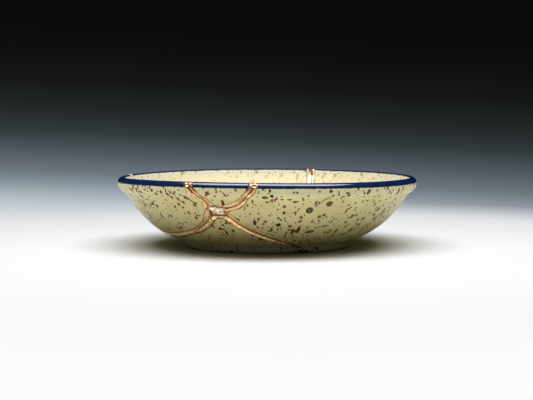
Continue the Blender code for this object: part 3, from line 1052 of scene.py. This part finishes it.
class Wire:
    """One output of a node, with arithmetic and with the nodes that can follow it."""

    def __init__(self, tree, socket):
        self.tree = tree
        self.socket = socket

    __add__ = sum_by("ADD")
    __sub__ = sum_by("SUBTRACT")
    __rsub__ = sum_by("SUBTRACT", swapped=True)
    __mul__ = sum_by("MULTIPLY")
    __truediv__ = sum_by("DIVIDE")
    __lt__ = sum_by("LESS_THAN")
    lowest = sum_by("MINIMUM")

    def node(self, kind, settings, inputs, output=0):
        """Another node of the same finish."""
        return new_node(self.tree, kind, settings, inputs, output)

    def beside(self, name):
        """Another output of the same node."""
        return Wire(self.tree, self.socket.node.outputs[name])

    def remembered(self, name):
        """A number that the piece keeps for each of its points."""
        return self.node("Attribute", {"attribute_name": name}, {}, "Fac")

    def vector(self, operation, second=(0.0, 0.0, 0.0), scale=1.0):
        """A sum with places or directions."""
        return self.node("VectorMath", {"operation": operation}, {0: self, 1: second, 3: scale})

    def cloud(self, size, detail=2.0, roughness=0.5):
        """A soft cloudy value from 0 to 1 at a place, with clouds of about a size."""
        sockets = {"Vector": self, "Scale": 1 / size, "Detail": detail, "Roughness": roughness}
        return self.node("TexNoise", {}, sockets)

    def step(self, start, end):
        """A soft step: 0 at the start and 1 at the end, which may be the lower of the two."""
        sockets = {"Value": self, "From Min": start, "From Max": end}
        return self.node("MapRange", {"interpolation_type": "SMOOTHSTEP"}, sockets)

    def blend(self, first, second):
        """A colour that goes from one to another with this share."""
        return self.node("Mix", {"data_type": "RGBA"}, {0: self, 6: first, 7: second}, 2)

    def bump(self, strength, distance):
        """The slopes that this height gives to the surface."""
        return self.node("Bump", {}, {"Strength": strength, "Distance": distance, "Height": self})


def new_finish(name):
    """A new material, and where a point is on the piece that wears it."""
    material = bpy.data.materials.new(name)
    material.use_nodes = True
    return material, new_node(material.node_tree, "TexCoord", {}, {}, "Object")


def shine(material, **sockets):
    """Sets the sockets of a material's surface."""
    surface = material.node_tree.nodes["Principled BSDF"]
    for name, value in sockets.items():
        socket = surface.inputs[name.replace("_", " ").title().replace("Ior", "IOR")]
        plug(material.node_tree, socket, value)
    return material


def colour(red, green, blue):
    """A colour as a screen shows it, from 0 to 255, as the linear colour that a finish takes."""
    linear = [channel / 255 / 12.92 if channel <= 10 else ((channel / 255 + 0.055) / 1.055) ** 2.4
              for channel in (red, green, blue)]
    return (*linear, 1.0)


print("a mid grey is", round(colour(128, 128, 128)[0], 3), "in linear light")


# %% [markdown]
# ## The glaze
# The glaze is a satin olive cream that lets the iron in the clay bleed through as brown specks, from
# pinpricks to splashes of five millimetres. The small ones are layers of a Voronoi texture: every
# cell has a centre, a size and a tone by chance, and only some cells show. The place is shaken by a
# fine noise first, because a real speck has a ragged edge.

# %% Specks by chance
SPECK_EDGE = (1.10, 0.80)
DRUM_RADIUS = 90 * MM


def shaken(place, size, reach):
    """The place moved by a fine noise, so that edges drawn with it are ragged."""
    shake = place.cloud(size).beside("Color").vector("SUBTRACT", (0.5, 0.5, 0.5))
    return place.vector("ADD", shake.vector("SCALE", scale=reach))


def along_the_wall(place, from_crest, stretch):
    """The place on the dish unrolled to a tall drum, so that round specks come out as streaks."""
    level = place.vector("MULTIPLY", (1.0, 1.0, 0.0)).vector("NORMALIZE")
    up = place.node("CombineXYZ", {}, {"Z": from_crest / stretch})
    return level.vector("SCALE", scale=DRUM_RADIUS).vector("ADD", up)


def speck_layer(place, shown, cell, smallest, largest):
    """Specks of some millimetres: how each covers, how far out in it a point is, and a chance tone."""
    middle = place.node("TexVoronoi", {}, {"Vector": place, "Scale": 1 / (cell * MM)}, "Distance")
    chance = place.node("SeparateColor", {}, {"Color": middle.beside("Color")}, "Red")
    outward = middle / ((chance * chance * (largest - smallest) + smallest) / cell)
    covers = outward.step(*SPECK_EDGE) * (chance.beside("Green") < shown)
    return covers, outward, chance.beside("Blue")


print("streaks are drawn on a drum", round(2 * DRUM_RADIUS / MM), "mm across")

# %% [markdown]
# The largest splashes of iron have a place of their own. Each runs from a point of the wall, in
# degrees and millimetres up, over some degrees and some millimetres up, with a radius. Its shade
# comes from how far out in it a point lies: the rim of a splash is dark, and its middle is where the
# iron spread thin.

# %% Splashes in their places
SPLASH_SPREAD = 1.2 * MM
SPLASHES = (
    (-73.5, 30, 0, 0, 2.0), (-66, 34, 0, 0, 1.8), (-71.5, 15.5, 2.5, 0.5, 1.2),
    (-71.5, 32, 2, 3.5, 0.3), (-69.5, 35.5, 3.5, 4.5, 0.45), (-91.5, 38.5, 1.5, 0, 0.85),
    (-90.5, 35.5, 1, 0, 0.6), (-89, 42.5, 0, 0.5, 0.7), (-85, 39, 0, 0, 0.55),
    (-82.5, 37, 1, 0, 0.65), (-77.5, 38.5, 1, -2.5, 0.4), (-71.5, 42, 0, 0, 0.55),
    (-62.5, 38, 1, 0.5, 0.6), (-61, 40.5, 1, 0, 0.55), (-56.5, 44.5, 0.5, -2, 0.65),
    (-51.5, 40, 0.5, 1.5, 1.0), (-49, 35, 0.5, 0, 0.6), (-53, 24.5, 0.5, 1, 1.0),
    (-55.5, 31, 0, 0, 0.55), (-40.5, 30, 0, 0, 0.5), (-23, 45, 0, -2.5, 0.55),
    (-75.5, 17.5, 0, 0, 0.65), (-83.5, 29, 0, 0, 0.6), (-65.5, 25.5, 0, 0, 0.55),
    (-67.5, 18.5, 3, 1.5, 0.4), (-72.5, 17.5, 1, 1.5, 0.4), (-49, 13, 0, 0, 0.65),
    (-53, 18, 0.5, 0, 0.6), (-148, 43.5, 0, -2, 0.6), (-139.5, 44, 0, -1, 0.5),
    (-137, 44, 0.5, -2, 0.55), (-133, 40.5, 0, 0, 0.65), (-147, 36, 0.5, 0, 0.55),
    (-144, 35, 0.5, -1.5, 0.45), (-153, 32.5, 2, -1.5, 0.35), (-153, 29, 0, -1.5, 0.4),
    (-127.5, 42, 1, -2.5, 0.3), (-124.5, 41, 0, 0, 0.6), (-128, 37.5, 0, 0, 0.6),
    (-121.5, 37, 1.5, -0.5, 0.8), (-119.5, 35.5, 1.5, -3.5, 0.5), (-128.5, 31.5, 0, -0.5, 0.7),
    (-124.5, 31, 0, 0, 0.6), (-119.5, 26, 0, 0, 0.7), (-105.5, 41.5, 1.5, -3, 0.4),
    (-115, 10.5, 2.5, -0.5, 0.45), (-133.5, 45, 0, 0, 0.6), (-131, 45, 0, 0, 0.6),
    (-126, 45, 0, 0, 0.6), (-122.5, 45, 0, 0, 0.6),
)


def splashes(place):
    """How far out a point lies in the nearest splash, from 0 in its middle to 1 at its edge."""
    nearest = None
    for angle, height, turn, climb, radius in SPLASHES:
        start = through(on_wall(angle, height, 0.0))[0]
        end = through(on_wall(angle + turn, height + climb, 0.0))[0]
        lean = (end - start).to_track_quat("X", "Z").to_euler()
        wide = radius * SPLASH_SPREAD
        size = (wide + (end - start).length / 2, wide, wide)
        outward = place.node("Mapping", {"vector_type": "TEXTURE"}, {
            "Vector": place, "Location": (start + end) / 2, "Rotation": lean, "Scale": size})
        outward = outward.vector("LENGTH").beside("Value")
        nearest = outward if nearest is None else nearest.lowest(outward)
    return nearest


print("splashes:", len(SPLASHES))

# %% [markdown]
# The body of the glaze drifts between two tints, and zones of the section tint it further: painted
# light just under the rim, painted shade lower down the outside, paler again on the foot, and lighter
# inside. A painted highlight pales the inside of the lip. The cobalt line comes after the specks and
# before the splashes, and only the crest of the lip is glossy.

# %% The glaze itself
GLAZE_CREAM = colour(236, 226, 164)
GLAZE_OLIVE = colour(222, 211, 148)
GLAZE_DRIFT = 28 * MM
GLAZE_DRIFT_EDGE = (0.35, 0.68)
# painted highlight: the inside just under the lip, near white
PAINTED_LIP_HIGHLIGHT = colour(255, 254, 238)
LIP_HIGHLIGHT_SPAN = (-6.5 * MM, -4 * MM)
LIP_HIGHLIGHT_COVER = 0.9
GLAZE_ZONES = (
    # tint, where it begins and where it is full in mm past the crest, and its strength
    # painted light: the outer wall just under the rim, paler where it is lit more
    (colour(252, 244, 198), 17, 4, 0.6),
    # painted shade: the outer wall lower down, darker where it turns away from the light
    (colour(142, 134, 84), 16, 52, 0.72),
    (colour(212, 208, 160), 57, 67, 0.8),
    (colour(226, 216, 181), 0, -2, 0.8),
)
SPECK_LAYERS = (
    # cell, smallest and largest speck in mm, how crowding shows more of them, and how many fewer
    (2.3, 0.45, 0.95, 1.2, 0.02),
    (3.6, 0.80, 1.6, 1.2, 0.08),
    (7.0, 1.1, 1.6, 0.5, 0.05),
)
SPECK_CROWDS = 26 * MM
SPECK_RAGGED = (1.1 * MM, 0.6 * MM)
SPECK_COVER = 0.85
SPECK_TONES = 0.6
STREAKS = (3.6, 0.55, 1.25)
STREAK_CROWDING = 1.2
STREAK_STRETCH = 3.0
STREAK_RAGGED = (1.1 * MM, 0.4 * MM)
STREAKS_END_OUTSIDE = (58 * MM, 52 * MM)
STREAKS_END_INSIDE = (-50 * MM, -42 * MM)
SPECK_DARK = colour(40, 8, 0)
SPECK_INSIDE = colour(212, 180, 134)
SPECK_RUST = colour(134, 56, 0)
SPLASH_RING = colour(44, 18, 0)
SPLASH_MIDDLE = colour(124, 86, 46)
SPLASH_SHADE = (0.2, 0.65)
SPLASH_EDGE = (1.1, 0.85)
SPLASH_RAGGED = (1.6 * MM, 0.5 * MM)
SPLASH_COVER = 0.93
SPLASH_ON_BAND = 0.8
COBALT_DEEP = colour(0, 26, 70)
COBALT_THIN = colour(0, 44, 98)
BAND_OUTSIDE = 5.15 * MM
BAND_INSIDE = 1.8 * MM
BAND_SOFT = 0.25 * MM
BAND_WAVER = 0.8 * MM
BAND_WAVER_LENGTH = 2.5 * MM
BAND_DRIFT = 4 * MM
BAND_COVER = 0.995
INSIDE_STARTS = (0.0, -2 * MM)
CREST_ENDS_INSIDE = (-0.6 * MM, 0.0)
CREST_ENDS_OUTSIDE = (3.5 * MM, 2.9 * MM)


def glazed_body(place, from_crest, inward):
    """The colour of the glaze, with the specks by chance."""
    body = place.cloud(GLAZE_DRIFT, 3.0).step(*GLAZE_DRIFT_EDGE).blend(GLAZE_OLIVE, GLAZE_CREAM)
    # the zones paint light under the rim and shade lower down the outside, besides their tints
    for tint, begins, full, strength in GLAZE_ZONES:
        body = (from_crest.step(begins * MM, full * MM) * strength).blend(body, tint)
    # a painted highlight on the inside of the lip, as paler glaze
    lip_highlight = from_crest.step(*LIP_HIGHLIGHT_SPAN) * inward * LIP_HIGHLIGHT_COVER
    body = lip_highlight.blend(body, PAINTED_LIP_HIGHLIGHT)
    crowd = place.cloud(SPECK_CROWDS)
    ragged = shaken(place, *SPECK_RAGGED)
    layers = [speck_layer(ragged, crowd * more - fewer, *sizes) for *sizes, more, fewer in SPECK_LAYERS]
    streaky = shaken(along_the_wall(place, from_crest, STREAK_STRETCH), *STREAK_RAGGED)
    on_walls = from_crest.step(*STREAKS_END_OUTSIDE) * from_crest.step(*STREAKS_END_INSIDE)
    layers.append(speck_layer(streaky, crowd * STREAK_CROWDING + on_walls * 2 - 2, *STREAKS))
    for covers, outward, tone in layers:
        iron = (tone * SPECK_TONES + (1 - outward) * SPECK_TONES).blend(SPECK_RUST, SPECK_DARK)
        iron = inward.blend(iron, SPECK_INSIDE)
        body = (covers * (tone * 0.15 + SPECK_COVER)).blend(body, iron)
    return body


def cobalt_band(place, from_crest):
    """How much the cobalt line covers, with a wavering edge on both sides of the lip."""
    along = from_crest + (place.cloud(BAND_WAVER_LENGTH) - 0.5) * BAND_WAVER
    outside = along.step(BAND_OUTSIDE + BAND_SOFT, BAND_OUTSIDE - BAND_SOFT)
    return outside * along.step(-BAND_INSIDE - BAND_SOFT, -BAND_INSIDE + BAND_SOFT)


def glaze_finish():
    """The speckled glaze, with the cobalt line over the lip."""
    material, place = new_finish("speckled_glaze")
    from_crest = place.remembered("from_crest")
    body = glazed_body(place, from_crest, from_crest.step(*INSIDE_STARTS))
    band = cobalt_band(place, from_crest)
    cobalt = place.cloud(BAND_DRIFT).blend(COBALT_DEEP, COBALT_THIN)
    body = (band * BAND_COVER).blend(body, cobalt)
    outward = splashes(shaken(place, *SPLASH_RAGGED))
    iron = outward.step(*SPLASH_SHADE).blend(SPLASH_MIDDLE, SPLASH_RING)
    iron = (band * SPLASH_ON_BAND).blend(iron, SPECK_DARK)
    body = (outward.step(*SPLASH_EDGE) * SPLASH_COVER).blend(body, iron)
    on_crest = from_crest.step(*CREST_ENDS_INSIDE) * from_crest.step(*CREST_ENDS_OUTSIDE)
    return shine(material, base_color=body, roughness=place.cloud(9 * MM) * 0.12 + 0.24,
                 specular_ior_level=0.12, coat_weight=band * on_crest, coat_roughness=0.07,
                 coat_ior=1.9, normal=place.cloud(1.6 * MM, 3.0).bump(0.12, 0.08 * MM))


glaze = glaze_finish()
print("glaze of", len(glaze.node_tree.nodes), "nodes")


# %% [markdown]
# ## Bare clay, dark lacquer and the chip's painted shade
# The ring that the plate stands on is wiped clean of glaze before firing, so bare stoneware shows
# there. Down in the breaks the lacquer has no gold on it and is nearly black brown, and the same
# near-black finish is put in the hollow of the chip as painted shade.

# %% Clay and lacquer
CLAY_DARK = colour(96, 72, 50)
CLAY_PALE = colour(150, 122, 88)
LACQUER_AND_SHADE_DARK = colour(10, 7, 5)
LACQUER_AND_SHADE_BROWN = colour(30, 20, 12)


def clay_finish():
    """Fired stoneware without glaze, with fine dark grit."""
    material, place = new_finish("bare_stoneware")
    grit = place.cloud(0.5 * MM, 4.0, 0.7)
    body = grit.step(0.35, 0.7).blend(CLAY_DARK, CLAY_PALE)
    return shine(material, base_color=body, roughness=0.85, normal=grit.bump(0.5, 0.1 * MM))


def lacquer_and_chip_shade_finish():
    """The dark lacquer between the sherds, without gold, also put in the foot's chip as painted shade."""
    material, place = new_finish("dark_lacquer_and_chip_shade")
    body = place.cloud(2 * MM).blend(LACQUER_AND_SHADE_DARK, LACQUER_AND_SHADE_BROWN)
    return shine(material, base_color=body, roughness=0.5)


clay = clay_finish()
lacquer = lacquer_and_chip_shade_finish()
print("finishes:", clay.name, lacquer.name)

# %% [markdown]
# ## The gold
# Gold powder on lacquer is metallic but not polished like sheet metal: the brush leaves lumps, the
# colour drifts to copper where the powder is thin, and along the very edge the brown lacquer shows.
# Rubbed and dark places lose most of their metal; the dark is painted shade in the grooves and the
# pit, and dark spots on the caps. The pale places have none, but for the lumps of the patch, which
# shine: pale on the lumps and caps is a painted highlight, and only inside the back wall is it pale
# filler.

# %% Gold
GOLD_BRIGHT = colour(255, 220, 156)
GOLD_COPPER = colour(228, 168, 108)
GOLD_EDGE = colour(70, 42, 22)
WORN_BROWN = colour(176, 122, 76)
PALE_FILLER_AND_HIGHLIGHT = colour(255, 251, 232)
DARK_SPOTS_AND_SHADE = colour(96, 40, 18)
POWDER_DRIFT = 3.0 * MM
POWDER_GRAIN = 0.7 * MM
COPPER_SHOWS = (0.42, 0.66)
DARK_SHOWS = (0.2, 0.8)
PALE_SHOWS = (0.3, 0.6)
LUMPS_SHINE = (0.6, 0.9)
EDGE_SHOWS = (0.14, 0.02)
EDGE_WAVER = 0.1
EDGE_WAVER_LENGTH = 1.2 * MM


def gold_finish():
    """Gold powder on lacquer, worn to brown in places, pale on the lumps as a painted highlight,
    dark in its grooves as painted shade, and brown at its edges.
    """
    material, place = new_finish("gold_powder")
    thin = place.cloud(POWDER_DRIFT, 4.0, 0.6)
    fine = place.cloud(POWDER_GRAIN, 3.0)
    spread = fine - 0.5
    known_pale = place.remembered("pale")
    worn = (place.remembered("worn") + spread * 0.5).step(0.0, 1.0)
    # dark: painted shade in the grooves and the pit, and dark spots on the caps
    dark = (place.remembered("dark") + spread * 0.4).step(*DARK_SHOWS)
    # pale: a painted highlight on the lumps and caps, pale filler inside the back wall
    pale = (known_pale + spread * 0.3).step(*PALE_SHOWS)
    wavering = (place.cloud(EDGE_WAVER_LENGTH) - 0.5) * EDGE_WAVER
    edge = (place.remembered("inward") + wavering).step(*EDGE_SHOWS)
    body = worn.blend(thin.step(*COPPER_SHOWS).blend(GOLD_BRIGHT, GOLD_COPPER), WORN_BROWN)
    body = pale.blend((dark * 0.9).blend(body, DARK_SPOTS_AND_SHADE), PALE_FILLER_AND_HIGHLIGHT)
    body = (edge * 0.8).blend(body, GOLD_EDGE)
    metal = (1 - edge * 0.6) * (1 - worn * 0.5) * (1 - dark * 0.8) * (1 - pale)
    metal = metal + known_pale.step(*LUMPS_SHINE) * 0.75
    return shine(material, base_color=body, metallic=metal, roughness=thin * 0.2 + 0.17,
                 normal=fine.bump(0.35, 0.12 * MM))


gilt = gold_finish()
print("gold of", len(gilt.node_tree.nodes), "nodes")

# %% Dressing the pieces
FOOT_BARE_HEIGHT = 0.35 * MM
SHARP = math.radians(38)


def dressed(piece, finishes):
    """Gives a piece its finishes and smooths its round faces."""
    for finish in finishes:
        piece.data.materials.append(finish)
    piece.data.shade_smooth()
    piece.data.set_sharp_from_angle(angle=SHARP)


def bare_foot(sherd):
    """Marks the faces under the foot ring, which carry no glaze."""
    for face in sherd.data.polygons:
        if face.material_index == GLAZE_INDEX and face.center.z < FOOT_BARE_HEIGHT:
            face.material_index = CLAY_INDEX


for name, sherd in sherds.items():
    bare_foot(sherd)
    dressed(sherd, (glaze, clay, lacquer))
    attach(sherd, "root")
    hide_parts("sherd_" + name)
dressed(gold, (gilt,))
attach(gold, "root")
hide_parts("gold_seams")

# %% [markdown]
# ## The studio
# The plate stands on pale paper under one soft light. Close to the plate the paper is a real sheet,
# which takes the shadow. Farther off it fades into the surroundings, a backdrop that goes from pale
# paper below the horizon to black above it, a little lighter on the left.

# %% Floor
FLOOR_RADIUS = 500 * MM
FLOOR_SEGMENTS = 96
FADE_START = 240 * MM
FADE_END = 440 * MM
PAPER = colour(232, 233, 235)


def pale_floor():
    """A round sheet of pale paper that fades to clear, which isn't part of the plate."""
    bm = bmesh.new()
    bmesh.ops.create_circle(bm, cap_ends=True, segments=FLOOR_SEGMENTS, radius=FLOOR_RADIUS)
    floor = mesh_object("studio_floor", bm, scene.collection)
    material, place = new_finish("pale_paper")
    tree = shine(material, base_color=PAPER, roughness=0.9, specular_ior_level=0.0).node_tree
    faded = place.vector("LENGTH").beside("Value").step(FADE_START, FADE_END)
    paper = Wire(tree, tree.nodes["Principled BSDF"].outputs["BSDF"])
    clear = new_node(tree, "BsdfTransparent", {}, {})
    mixed = new_node(tree, "MixShader", {}, {0: faded, 1: paper, 2: clear})
    plug(tree, tree.nodes["Material Output"].inputs["Surface"], mixed)
    floor.data.materials.append(material)
    return floor


pale_floor()
print("floor", 2 * FLOOR_RADIUS, "m wide")

# %% Backdrop
BACKDROP_LOW = -0.16
BACKDROP_SPAN = 0.24
BACKDROP_TILT = 0.045
BACKDROP = (
    # how far above the horizon, and the shade there
    (-0.155, (252, 252, 252)), (-0.131, (249, 249, 250)), (-0.108, (241, 241, 243)),
    (-0.0924, (224, 225, 230)), (-0.0769, (187, 195, 203)), (-0.0691, (161, 171, 179)),
    (-0.0614, (133, 143, 152)), (-0.0536, (108, 118, 125)), (-0.0381, (80, 88, 94)),
    (-0.0226, (50, 58, 61)), (-0.0071, (36, 40, 41)), (0.0161, (22, 24, 23)),
    (0.0392, (14, 15, 15)), (0.0622, (10, 11, 11)),
)


def backdrop():
    """The surroundings: one gradient by how far below or above the horizon a direction points."""
    world = bpy.data.worlds.new("dark_studio")
    world.use_nodes = True
    tree = world.node_tree
    direction = new_node(tree, "TexCoord", {}, {}, "Generated")
    up = direction.node("SeparateXYZ", {}, {"Vector": direction}, "Z")
    height = up + up.beside("X") * BACKDROP_TILT
    shade = up.node("ValToRGB", {}, {"Fac": (height - BACKDROP_LOW) / BACKDROP_SPAN})
    stops = shade.socket.node.color_ramp.elements
    while len(stops) < len(BACKDROP):
        stops.new(1.0)
    for stop, (level, tint) in zip(stops, BACKDROP):
        stop.position = (level - BACKDROP_LOW) / BACKDROP_SPAN
        stop.color = colour(*tint)
    plug(tree, tree.nodes["Background"].inputs["Color"], shade)
    return world


scene.world = backdrop()
print("backdrop of", len(BACKDROP), "stops")

# %% Light
LIGHT_PLACE = Vector((0.0, -0.15, 0.80))
LIGHT_TARGET = Vector((0.0, -0.02, 0.0))
LIGHT_WIDTH = 1.20
LIGHT_DEPTH = 0.60
LIGHT_POWER = 11.2


def soft_light():
    """A rectangular soft light over the plate, out of the camera's sight."""
    light = bpy.data.lights.new("overhead_light", "AREA")
    light.shape = "RECTANGLE"
    light.size = LIGHT_WIDTH
    light.size_y = LIGHT_DEPTH
    light.energy = LIGHT_POWER
    lamp = bpy.data.objects.new("overhead_light", light)
    lamp.location = LIGHT_PLACE
    lamp.rotation_euler = (LIGHT_TARGET - LIGHT_PLACE).to_track_quat("-Z", "Y").to_euler()
    lamp.visible_camera = False
    scene.collection.objects.link(lamp)
    return lamp


scene.view_settings.view_transform = "Standard"
print("light:", soft_light().name)

# %% Camera
CAMERA_PLACE = Vector((0.0, -866.4, 90.4)) * MM
CAMERA_PITCH = math.radians(3.965)
CAMERA_LENS = 86.86
CAMERA_SENSOR = 36.0
CAMERA_SHIFT = -0.0011

camera = bpy.data.objects.new("camera", bpy.data.cameras.new("camera"))
camera.location = CAMERA_PLACE
camera.rotation_euler = (math.radians(90) - CAMERA_PITCH, 0.0, 0.0)
camera.data.lens = CAMERA_LENS
camera.data.sensor_width = CAMERA_SENSOR
camera.data.shift_x = CAMERA_SHIFT
scene.collection.objects.link(camera)
scene.camera = camera
print("camera of", round(camera.data.lens, 1), "mm")
